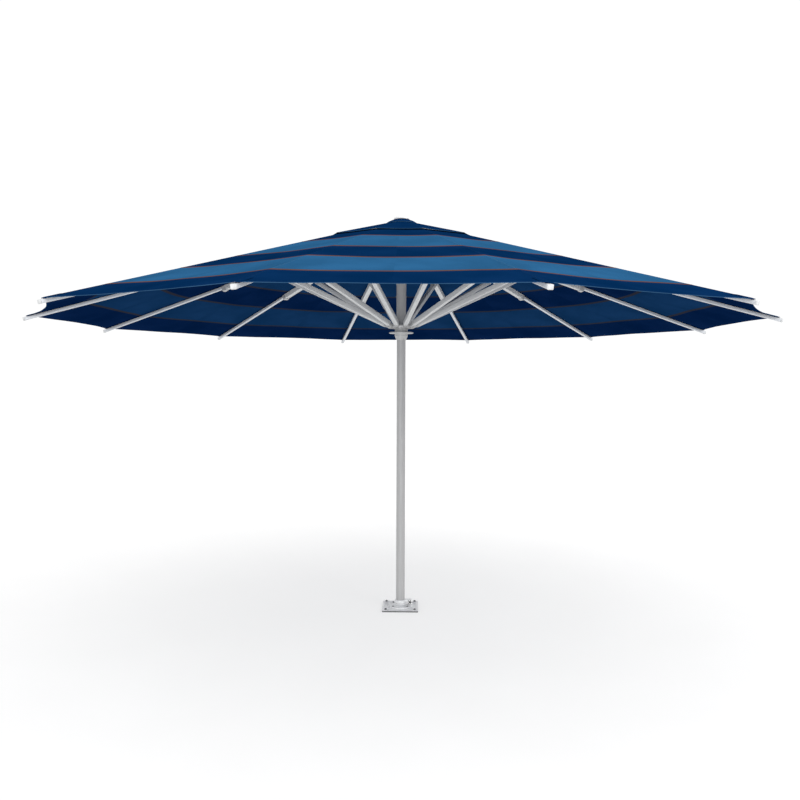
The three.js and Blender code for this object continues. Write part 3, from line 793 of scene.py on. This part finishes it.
def add_runner():
    low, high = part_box("runner_sleeve")
    disc_low, disc_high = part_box("runner_disc")
    bore = radius_of("runner_bush") + 0.0003
    neck = bore + 0.0058
    flange = radius_of("runner_sleeve")
    collar = neck + 0.0087
    under = disc_low.z - 0.0003
    plate_low = (disc_low.z + disc_high.z) / 2 - FLANGE_BELOW
    plate_high = plate_low + FLANGE_THICKNESS
    step = plate_low - 0.024
    sleeve = Shape()
    profile = [(bore, low.z), (bore + 0.002, low.z), (collar - 0.0015, step - 0.0008),
               (collar, step + 0.001), (collar, plate_low),
               (flange - 0.001, plate_low), (flange, plate_low + 0.001),
               (flange, plate_high - 0.001), (flange - 0.001, plate_high), (collar, plate_high),
               (collar, under - 0.0105), (collar - 0.0012, under - 0.0095),
               (collar - 0.0012, under - 0.0085), (collar, under - 0.0075),
               (collar, under - 0.001), (collar - 0.001, under), (neck, under),
               (neck, disc_high.z + 0.003), (neck + 0.0012, disc_high.z + 0.0036),
               (neck + 0.0012, disc_high.z + 0.010), (neck, disc_high.z + 0.0106),
               (neck, high.z - 0.016), (neck - 0.0008, high.z - 0.015),
               (neck - 0.0008, high.z - 0.014), (neck, high.z - 0.013),
               (neck, high.z - 0.0025), (neck - 0.0025, high.z), (bore, high.z)]
    sleeve.add(turned([(max(r, bore), z) for r, z in profile], 96), "cast")
    sleeve.show("runner_sleeve", "runner")
    radius = radius_of("runner_disc")
    loops = slotted_disc(radius, neck + 0.0003, SLOT_RADIUS, SLOT_HALF)
    disc = Shape()
    disc.add(sheet_metal(loops, disc_low.z, disc_high.z, 0.0018), "cast")
    for i in range(RIBS):
        turn = Matrix.Rotation(2 * i * HALF_PITCH, 4, "Z")
        head = [(0, disc_high.z - 0.001), (0.0048, disc_high.z - 0.001),
                (0.0048, disc_high.z + 0.002), (0.0036, disc_high.z + 0.0032),
                (0, disc_high.z + 0.0034)]
        disc.add(turned(head, 20), "bolt", turn @ Matrix.Translation((SCREW_RADIUS, 0, 0)))
    disc.show("runner_disc", "runner")
    add_runner_knob()


def add_runner_knob():
    low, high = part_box("runner_knob")
    z, length, lobe = (low.z + high.z) / 2, 0.012, 0.0025
    radius = (high.z - low.z) / 2 - lobe
    knob = Shape()
    grip, hub = hand_knob(radius, lobe, 6, length)
    knob.add(grip, "dark_plastic")
    knob.add(hub, "light_plastic")
    knob.add(threaded(0.005, low.y - high.y + length, 0.001), "bolt")
    place = Matrix.Translation((0, high.y - length, z)) @ Matrix.Rotation(-math.pi / 2, 4, "X")
    knob.show("runner_knob", "runner_knob", place)


# ------------------------------------------------------------------ ribs and struts

SLEEVE = 0.046
SLEEVE_SPAN = (0.150, 1.690)
COLLAR = 0.052
COLLAR_LENGTH = 0.036
TUBE = (0.030, 0.026)
TUBE_RISE = 0.0072  # it lies against the top of the sleeve
BLADE = 0.016
CAP_LENGTH = 0.016
EAR_THICKNESS = 0.0035
EAR_DROP = 0.048
EAR_RADIUS = 0.018
STRUT = (0.038, 0.042)
RUNNER_PIVOT = 0.100  # from the mast's axis to a strut's lower pivot
FLANGE_BELOW = 0.058  # from the lower pivots down to the underside of the runner's flange
FLANGE_THICKNESS = 0.010


def placed_along(origin, along, tangent):
    """A place at a pivot: X along the part, Z up, Y square to both."""
    along = along.normalized()
    up = along.cross(tangent)
    if up.z < 0:
        up = -up
    place = Matrix((along, up.cross(along), up)).transposed().to_4x4()
    return Matrix.Translation(origin) @ place


def reach_of(node, place):
    """How far a CAD node goes along X from a place."""
    points = corners_of(node)
    away = place.inverted()
    return max((away @ Vector(point)).x for point in points)


def rib_place(i):
    """Along a rib from its hinge: the strut's pivot lies EAR_DROP below the rib."""
    hinge, ear = joints[f"rib_{i}_hinge"], joints[f"strut_{i}_hinge"]
    tangent, origin = Vector(hinge["axis"]), Vector(hinge["pos_m"])
    to_ear = Vector(ear["pos_m"]) - origin
    lift = math.asin(EAR_DROP / to_ear.length)
    options = [Matrix.Rotation(sign * lift, 3, tangent) @ to_ear for sign in (1, -1)]
    return placed_along(origin, max(options, key=lambda way: way.z), tangent)


def strut_place(i):
    """Along a strut from its upper pivot to its lower one, in the middle of the disc."""
    ear = joints[f"strut_{i}_hinge"]
    tangent, origin = Vector(ear["axis"]), Vector(ear["pos_m"])
    low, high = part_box("runner_disc")
    outward = Vector((origin.x, origin.y, 0)).normalized()
    foot = RUNNER_PIVOT * outward + Vector((0, 0, (low.z + high.z) / 2))
    return placed_along(origin, foot - origin, tangent), (foot - origin).length


def blade_outline(eye, half, length):
    """A hinge blade seen from the side: a round eye at the origin, then a bar."""
    outline = [(eye * math.cos(t), eye * math.sin(t)) for t in np.linspace(
        math.radians(100), math.radians(260), 12)]
    return outline + [(0.045, -half), (length, -half), (length, half), (0.045, half)]


def upright(shell):
    """Stands a plate drawn in X and Y on its edge, its thickness along Y."""
    return [(x, z, y) for x, y, z in shell[0]], shell[1]


def rib_mesh(length, attach):
    inner = SLEEVE - 0.006
    start, end = SLEEVE_SPAN
    rib = Shape()
    blade = sheet_metal([blade_outline(0.0128, inner / 2 - 0.0005, start + 0.03)],
                        -BLADE / 2, BLADE / 2, 0.0015)
    rib.add(upright(blade), "cast")
    rib.add(extruded(grooved(SLEEVE, SLEEVE, 0.004, 0.014, 0.0025), start, end), "frame")
    for x in (start + 0.02, start + 0.045, end - 0.06, end - 0.1):
        add_rivets(rib, x, 0, SLEEVE / 2 - 0.0003, rivet(0.004, 0.0015))
    drop = (SLEEVE - COLLAR) / 2
    collar = [(y, z + drop) for y, z in rounded(COLLAR, COLLAR, 0.006)]
    rib.add(extruded(collar, end - COLLAR_LENGTH, end, 0.002), "cast")
    tube = raised(rounded(*TUBE, 0.004))
    rib.add(extruded(tube, end - 0.1, length - CAP_LENGTH), "drawn")
    filler = rounded(SLEEVE - 0.002, SLEEVE - 0.002, 0.005)
    rib.add(extruded(filler, end - 0.002, end + 0.0015), "dark_plastic")
    cap = raised(rounded(TUBE[0] + 0.002, TUBE[1] + 0.002, 0.005))
    rib.add(extruded(cap, length - CAP_LENGTH, length, 0.003), "light_plastic")
    ear = [(attach + EAR_RADIUS * math.cos(t), -EAR_DROP + EAR_RADIUS * math.sin(t))
           for t in np.linspace(math.radians(190), math.radians(350), 14)]
    ear += [(attach + 0.06, -SLEEVE / 2 + 0.006), (attach - 0.06, -SLEEVE / 2 + 0.006)]
    for sign in (-1, 1):
        y = sign * (SLEEVE - EAR_THICKNESS) / 2
        side = sheet_metal([ear], y - EAR_THICKNESS / 2, y + EAR_THICKNESS / 2, 0.0006)
        rib.add(upright(side), "frame")
    add_rivets(rib, attach, -EAR_DROP, SLEEVE / 2, rivet(0.0085, 0.0019))
    pin = [(0, -SLEEVE / 2), (0.005, -SLEEVE / 2), (0.005, SLEEVE / 2), (0, SLEEVE / 2)]
    rib.add(turned(pin, 20), "bolt", laid_along_y(attach, -EAR_DROP))
    return rib.mesh("rib")


def raised(section):
    """A section moved up to where the outer tube lies in the sleeve."""
    return [(y, z + TUBE_RISE) for y, z in section]


def rivet(radius, height):
    """A domed head that rises from z = 0."""
    dome = [(radius * math.cos(t), height * math.sin(t)) for t in np.linspace(0, 1.4, 5)]
    return turned([(0, -0.001), (radius, -0.001), *dome, (0, height)], 18)


def add_rivets(shape, x, z, seat, head):
    """A domed head on each side of a tube, at a distance from its middle."""
    for sign in (-1, 1):
        place = Matrix.Translation((x, sign * seat, z))
        place @= Matrix.Rotation(-sign * math.pi / 2, 4, "X")
        shape.add(head, "bolt", place)


def strut_mesh(length):
    """A strut along X from its upper pivot at the origin to its lower pivot."""
    width, height = STRUT
    half = height / 2
    plug = length - 0.045
    strut = Shape()
    head = [(half * math.cos(t), half * math.sin(t)) for t in np.linspace(
        math.radians(90), math.radians(270), 18)]
    head += [(0.05, -half), (0.05, half)]
    strut.add(upright(sheet_metal([head], -width / 2, width / 2, 0.003)), "cast")
    section = grooved(width - 0.0012, height - 0.0012, 0.004, 0.013, 0.0028)
    strut.add(extruded(section, 0.049, plug - 0.012), "frame")
    strut.add(extruded(rounded(width, height, 0.005), plug - 0.0125, plug, 0.0015), "cast")
    foot = [(length - x, -y) for x, y in blade_outline(0.012, half - 0.004, 0.06)]
    strut.add(upright(sheet_metal([foot], -0.0075, 0.0075, 0.0015)), "cast")
    boss = [(0, -0.0084), (0.0066, -0.0084), (0.007, -0.008), (0.007, 0.008),
            (0.0066, 0.0084), (0, 0.0084)]
    strut.add(turned(boss, 24), "bolt", laid_along_y(length, 0))
    for x in (0.075, 0.105, plug - 0.03):
        add_rivets(strut, x, 0, width / 2 - 0.0009, rivet(0.0032, 0.0009))
    return strut.mesh("strut")


def add_frame_spokes():
    place = rib_place(1)
    pivot = place.inverted() @ Vector(joints["strut_1_hinge"]["pos_m"])
    rib = rib_mesh(reach_of("rib_1", place), pivot.x)
    strut = strut_mesh(strut_place(1)[1])
    for i in range(1, RIBS + 1):
        piece(f"rib_{i}_shown", rib, f"rib_{i}", [f"rib_{i}"], rib_place(i))
        piece(f"strut_{i}_shown", strut, f"strut_{i}", [f"strut_{i}"],
              strut_place(i)[0])


# ------------------------------------------------------------------ canopy

panel = corners_of("canopy_panel_1")
panel_radii = np.hypot(panel[:, 0], panel[:, 1])
CLOTH_RADIUS = float(panel_radii.max())
RIM_HEIGHT = float(panel[panel_radii > CLOTH_RADIUS - 0.002][:, 2].max())
SLOPE = math.asin(-rib_place(1).col[0].z)

VENT_RADIUS = 0.600
FLAP_RADIUS = 0.722
FLAP_LIFT = 0.012
FLAP_INNER = float(panel_radii.min())
RIM_CURVE = 0.070
FLAP_CURVE = 0.014
CLOTH = 0.0015
MAIN_SAG = 0.018
FLAP_SAG = 0.005
SEAM_HALF = 0.009
SEAM_RISE = 0.0016
PIPING_HALF = 0.016
PIPING_RISE = 0.0024
HEM = 0.040
EDGE_BEAD = 0.009
BANDS = ((0.355, "navy"), (0.549, "steel_blue"), (0.695, "navy"), (0.869, "steel_blue"),
         (1.0, "navy"))
PATCH = (0.034, 0.120)  # half its width, and its length
PATCH_STEPS = 6
PATCH_RISE = 0.0022
LAYERS = ("cloth", "rim")  # places on the flat cloth from the mast, and from the rim


def cone_height(radius):
    return RIM_HEIGHT + (CLOTH_RADIUS - radius) * math.tan(SLOPE)


def flap_height(radius):
    share = (radius - FLAP_INNER) / (FLAP_RADIUS - FLAP_INNER)
    return cone_height(radius) + 0.0018 + FLAP_LIFT * share


class Cut:
    """One rib's share of a tier of the canopy, from the middle of one panel to the next."""

    def __init__(self, inner, outer, curve, sag, height, rows, wrinkle):
        self.inner, self.outer, self.curve, self.sag = inner, outer, curve, sag
        self.height, self.rows, self.wrinkle = height, rows, wrinkle

    def columns(self, half):
        """Distances from the rib to the panel's middle: the seam's edges, then even steps."""
        steps = 12
        edge = SEAM_HALF + 0.002
        return [0, 0.6 * SEAM_HALF, SEAM_HALF, edge] + [
            edge + (half - edge) * (k / steps) for k in range(1, steps + 1)]

    def point(self, azimuth, row, side, from_rib, half, rise):
        share = 1 - from_rib / half
        far = (row * self.outer - self.inner) / (self.outer - self.inner)
        near_rim = max(0.0, (far - 0.6) / 0.4) ** 1.5
        out = row * self.outer * math.cos(HALF_PITCH)
        out -= self.curve * (1 - share ** 2) * near_rim
        along = half * share
        x = out * math.cos(HALF_PITCH) + along * math.sin(HALF_PITCH)
        y = out * math.sin(HALF_PITCH) - along * math.cos(HALF_PITCH)
        z = self.height(out / math.cos(HALF_PITCH)) + rise
        slack = 1 - share ** 2
        z -= self.sag * slack * max(0.0, far) ** 1.3
        turn = Matrix.Rotation(azimuth, 4, "Z")
        placed = turn @ Vector((x, side * y, z))
        z_shift = self.wrinkle * slack * (noise.noise(2.6 * placed) - 0.3)
        return placed + Vector((0, 0, z_shift))


def band_at(row):
    """The finish of the cloth at a share of the way to the rim."""
    return next(look for end, look in BANDS if row <= end + 1e-9)


def main_rows():
    """Rows of the main canopy: (share of the way to the rim, rise, finish of the next strip)."""
    scale = CLOTH_RADIUS * math.cos(HALF_PITCH)
    piping = [(-PIPING_HALF - 0.003, 0.0), (-PIPING_HALF, PIPING_RISE * 0.7),
              (0.0, PIPING_RISE), (PIPING_HALF, PIPING_RISE * 0.7), (PIPING_HALF + 0.003, 0.0)]
    rows = []
    start = VENT_RADIUS / CLOTH_RADIUS
    for end, look in BANDS:
        last = 1 - (HEM + 0.003) / scale if end == 1.0 else end - (PIPING_HALF + 0.003) / scale
        steps = max(2, round((last - start) / 0.022))
        rows += [(start + (last - start) * k / steps, 0.0, look) for k in range(steps)]
        if end < 1.0:
            for k, (offset, rise) in enumerate(piping[:-1]):
                strip = look if k == 0 else "brown"
                rows.append((end + offset / scale, rise, strip))
            rows[-1] = (*rows[-1][:2], band_at(end + 0.02))
            start = end + piping[-1][0] / scale
    rows += [(1 - (HEM + 0.003) / scale, 0.0, "navy"), (1 - HEM / scale, 0.0014, "navy")]
    rows += [(1 - 0.5 * HEM / scale, 0.0014, "navy"), (1 - EDGE_BEAD / scale, 0.0014, "hem"),
             (1 - 0.4 * EDGE_BEAD / scale, 0.0024, "hem"), (1.0, 0.0006, "hem")]
    return rows


def flap_rows():
    """Rows of the vent flap, which is navy with a bound edge."""
    scale = FLAP_RADIUS * math.cos(HALF_PITCH)
    start, last = FLAP_INNER / FLAP_RADIUS, 1 - 0.030 / scale
    steps = 22
    rows = [(start + (last - start) * k / steps, 0.0, "navy") for k in range(steps + 1)]
    return rows + [(1 - 0.027 / scale, 0.0012, "navy"), (1 - EDGE_BEAD / scale, 0.0012, "hem"),
                   (1 - 0.4 * EDGE_BEAD / scale, 0.0022, "hem"), (1.0, 0.0004, "hem")]


def cloth_mesh(name, cut, azimuth, sides=(-1, 1)):
    """A piece of cloth on both sides of a rib, or on one, and its flat area."""
    points, faces, looks, flat, rim = [], [], [], [], []
    names = sorted({look for _, _, look in cut.rows})
    flat_area = 0.0
    previous = None
    for row, rise, _ in cut.rows:
        half = row * cut.outer * math.sin(HALF_PITCH)
        steps = cut.columns(half)
        line = [(-1, d) for d in steps[::-1]] if -1 in sides else []
        line = line[:-1] + [(1, d) for d in steps] if 1 in sides else line
        slant = row * cut.outer / math.cos(SLOPE)
        if previous is not None:
            strip = (half + previous[0]) * (slant - previous[1]) * math.cos(HALF_PITCH)
            flat_area += strip * len(sides) / 2
        previous = (half, slant)
        for side, from_rib in line:
            seam = SEAM_RISE if from_rib <= SEAM_HALF + 1e-9 else 0.0
            points.append(cut.point(azimuth, row, side, from_rib, half, max(rise, seam)))
            flat.append((side * from_rib, slant))
            rim.append((side * from_rib, (1 - row) * cut.outer / math.cos(SLOPE)))
    count = len(points) // len(cut.rows)
    for r in range(len(cut.rows) - 1):
        for c in range(count - 1):
            a, b = r * count + c, (r + 1) * count + c
            faces.append([a, a + 1, b + 1, b])
            looks.append(names.index(cut.rows[r][2]))
    mesh = bpy.data.meshes.new(name)
    mesh.from_pydata(points, [], faces)
    # the second half of the slots are the darker underside copies, painted shade
    for look in names + [look + "_under" for look in names]:
        mesh.materials.append(finishes[look])
    mesh.polygons.foreach_set("material_index", looks)
    smooth(mesh)
    if mesh.polygons[0].normal.z < 0:
        mesh.flip_normals()
    for layer, places in zip(LAYERS, (flat, rim)):
        lay_uv(mesh, [layer], places)
    border = bmesh.new()
    border.from_mesh(mesh)
    for edge in border.edges:
        edge.smooth = not edge.is_boundary
    border.to_mesh(mesh)
    border.free()
    return mesh, flat_area


def thickened(made, thickness):
    """Gives a sheet its thickness below its surface, for good."""
    solid = made.modifiers.new("thickness", "SOLIDIFY")
    solid.thickness, solid.offset = thickness, -1
    # the shell below takes the darker underside finishes, which are painted shade
    solid.material_offset = len(made.data.materials) // 2
    bpy.context.view_layer.update()
    graph = bpy.context.evaluated_depsgraph_get()
    mesh = bpy.data.meshes.new_from_object(made.evaluated_get(graph), depsgraph=graph)
    made.modifiers.clear()
    made.data = mesh


def sideways(cut, azimuth, side):
    """A point of the cloth over a rib, and the way square to the rib along one side's cloth."""
    row = 0.8
    half = row * cut.outer * math.sin(HALF_PITCH)
    crest = cut.point(azimuth, row, side, 0, half, 0)
    along = cut.point(azimuth, 0.9, side, 0, 0.9 * half / row, 0) - crest
    across = cut.point(azimuth, row, side, 0.6 * half, half, 0) - crest
    across -= along * (across.dot(along) / along.length_squared)
    return crest, across.normalized()


def sheet_piece(name, mesh, i, replaced=(), drawn_in=None):
    """A sheet on one rib, given its thickness and its own mesh."""
    made = linked(name, mesh)
    thickened(made, CLOTH)
    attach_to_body(made, f"rib_{i}")
    if replaced:
        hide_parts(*replaced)
    joint = joints[f"rib_{i}_hinge"]
    anchor, axis = drawn_in or (joint["pos_m"], joint["axis"])
    tuple(axis)
    tuple(anchor)
    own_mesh(made)
    return made


def patch_rows(cut):
    """Rows of the patch that reinforces a corner: it starts inboard and laps over the rim."""
    scale = cut.outer * math.cos(HALF_PITCH)
    start, end = 1 - PATCH[1] / scale, 1 + 0.006 / scale
    rows = []
    for k in range(PATCH_STEPS + 1):
        share = k / PATCH_STEPS
        edge = 0.0 if k in (0, PATCH_STEPS) else PATCH_RISE
        rows.append((start + (end - start) * share, 0.0016 + edge, "navy"))
    return rows


class Patch(Cut):
    """A strip of cloth that lies on a cut, along its rib."""

    def columns(self, half):
        return [0, 0.5 * PATCH[0], PATCH[0] - 0.003, PATCH[0]]


def add_canopy():
    main = Cut(VENT_RADIUS, CLOTH_RADIUS, RIM_CURVE, MAIN_SAG, cone_height, main_rows(), 0.006)
    flap = Cut(FLAP_INNER, FLAP_RADIUS, FLAP_CURVE, FLAP_SAG, flap_height, flap_rows(), 0.002)
    patch = Patch(VENT_RADIUS, CLOTH_RADIUS, RIM_CURVE, MAIN_SAG, cone_height, [], 0.006)
    patch.rows = patch_rows(patch)
    for i in range(1, RIBS + 1):
        azimuth = (2 * i - 1) * HALF_PITCH
        for tier, cut, replaced in (
            ("canopy_main", main, [f"canopy_panel_{i}"]),
            ("vent_flap", flap, []),
        ):
            for side, label in ((-1, "a"), (1, "b")):
                name = f"{tier}_{i}{label}"
                mesh, area = cloth_mesh(name, cut, azimuth, (side,))
                made = sheet_piece(name, mesh, i, replaced, sideways(cut, azimuth, side))
        name = f"corner_patch_{i}"
        mesh, area = cloth_mesh(name, patch, azimuth)
        made = sheet_piece(name, mesh, i)


def add_top():
    """The domed cap, gored like the canopy, with a bound edge, and the screwed finial."""
    low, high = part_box("canopy_cap")
    radius = radius_of("canopy_cap")
    edge, rise = low.z + CLOTH, high.z - low.z - CLOTH
    sides, rings = RIBS * 10, 18
    points, faces, flat = [], [], []
    for k in range(rings + 1):
        share = 1 - k / rings
        for j in range(sides):
            turn = 2 * math.pi * j / sides
            puff = abs(math.sin(RIBS / 2 * turn)) ** 0.7
            r = max(radius * share * (1 - 0.010 * (1 - puff) * share), 0.0075)
            z = edge + rise * (1 - share ** 3.2) - 0.0022 * (1 - puff) * share
            points.append((r * math.cos(turn), r * math.sin(turn), z))
            flat.append((r * turn, r))
    for k in range(rings):
        for j in range(sides):
            a, b = k * sides, (k + 1) * sides
            faces.append([a + j, a + (j + 1) % sides, b + (j + 1) % sides, b + j])
    mesh = bpy.data.meshes.new("canopy_cap_shown")
    mesh.from_pydata(points, [], faces)
    # the cap's underside gets the darker navy copy: painted shade
    for look in ("navy", "navy_under"):
        mesh.materials.append(finishes[look])
    smooth(mesh)
    lay_uv(mesh, LAYERS, flat)
    cap = linked("canopy_cap_shown", mesh)
    thickened(cap, CLOTH)
    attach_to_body(cap, "root")
    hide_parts("canopy_cap")
    welt = Shape()
    tube = [(radius - 0.004 + 0.0035 * math.cos(t), edge + 0.0005 + 0.0035 * math.sin(t))
            for t in np.linspace(0, 2 * math.pi, 12, endpoint=False)]
    welt.add(turned(tube, 120), "hem")
    welt_mesh = welt.mesh("canopy_cap_welt")
    spots = [vertex.co for vertex in welt_mesh.vertices]
    lay_uv(welt_mesh, LAYERS, [(0.05 + z, radius * math.atan2(y, x)) for x, y, z in spots])
    band = piece("canopy_cap_welt", welt_mesh, "root")
    add_finial()


def add_finial():
    low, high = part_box("finial")
    radius, stem = radius_of("finial"), 0.006
    height, edge, shoulder = 0.028, 0.005, 0.009
    foot = high.z - height
    finial = Shape()
    profile = [(0, foot + 0.0002), (radius - edge, foot + 0.0002)]
    profile += [(radius - edge + edge * math.sin(t), foot + edge - (edge - 0.0002) * math.cos(t))
                for t in np.linspace(0.2, math.pi / 2, 5)]
    profile += [(radius * math.cos(t) ** 0.6, foot + shoulder + (height - shoulder) * math.sin(t))
                for t in np.linspace(0, 1.42, 14)]
    profile += [(0.24 * radius, high.z - 0.0008), (0.2 * radius, high.z - 0.004),
                (0, high.z - 0.004)]
    finial.add(turned(profile, 96), "white_plastic")
    finial.add(turned([(0, low.z), (stem, low.z), (stem, foot + 0.001), (0, foot + 0.001)], 24),
               "bolt")
    finial.add(sheet_metal([hexagon(0.0075)], high.z - 0.0045, high.z - 0.0006, 0.0008), "bolt")
    finial.show("finial", "root")


# ------------------------------------------------------------------ carried-over CAD nodes

CARRIED = {
    "crown_hub": "cast",
    "crown_pivot_ring": "bolt",
    "crown_plate": "zinc",
    "clamp_nut": "bolt",
    "mast_joint_bolt": "bolt",
    "runner_bush": "light_plastic",
}


def dress_carried():
    for name, finish in CARRIED.items():
        mesh = frame["nodes"][name].data
        mesh.materials.clear()
        mesh.materials.append(finishes[finish])
        mesh.polygons.foreach_set("material_index", [0] * len(mesh.polygons))
        smooth(mesh)
        mesh.set_sharp_from_angle(angle=SHARP_ANGLE)


add_camera()
add_studio()
add_floor()
add_base()
add_mast()
add_runner()
add_frame_spokes()
add_canopy()
add_top()
dress_carried()

bpy.context.view_layer.update()
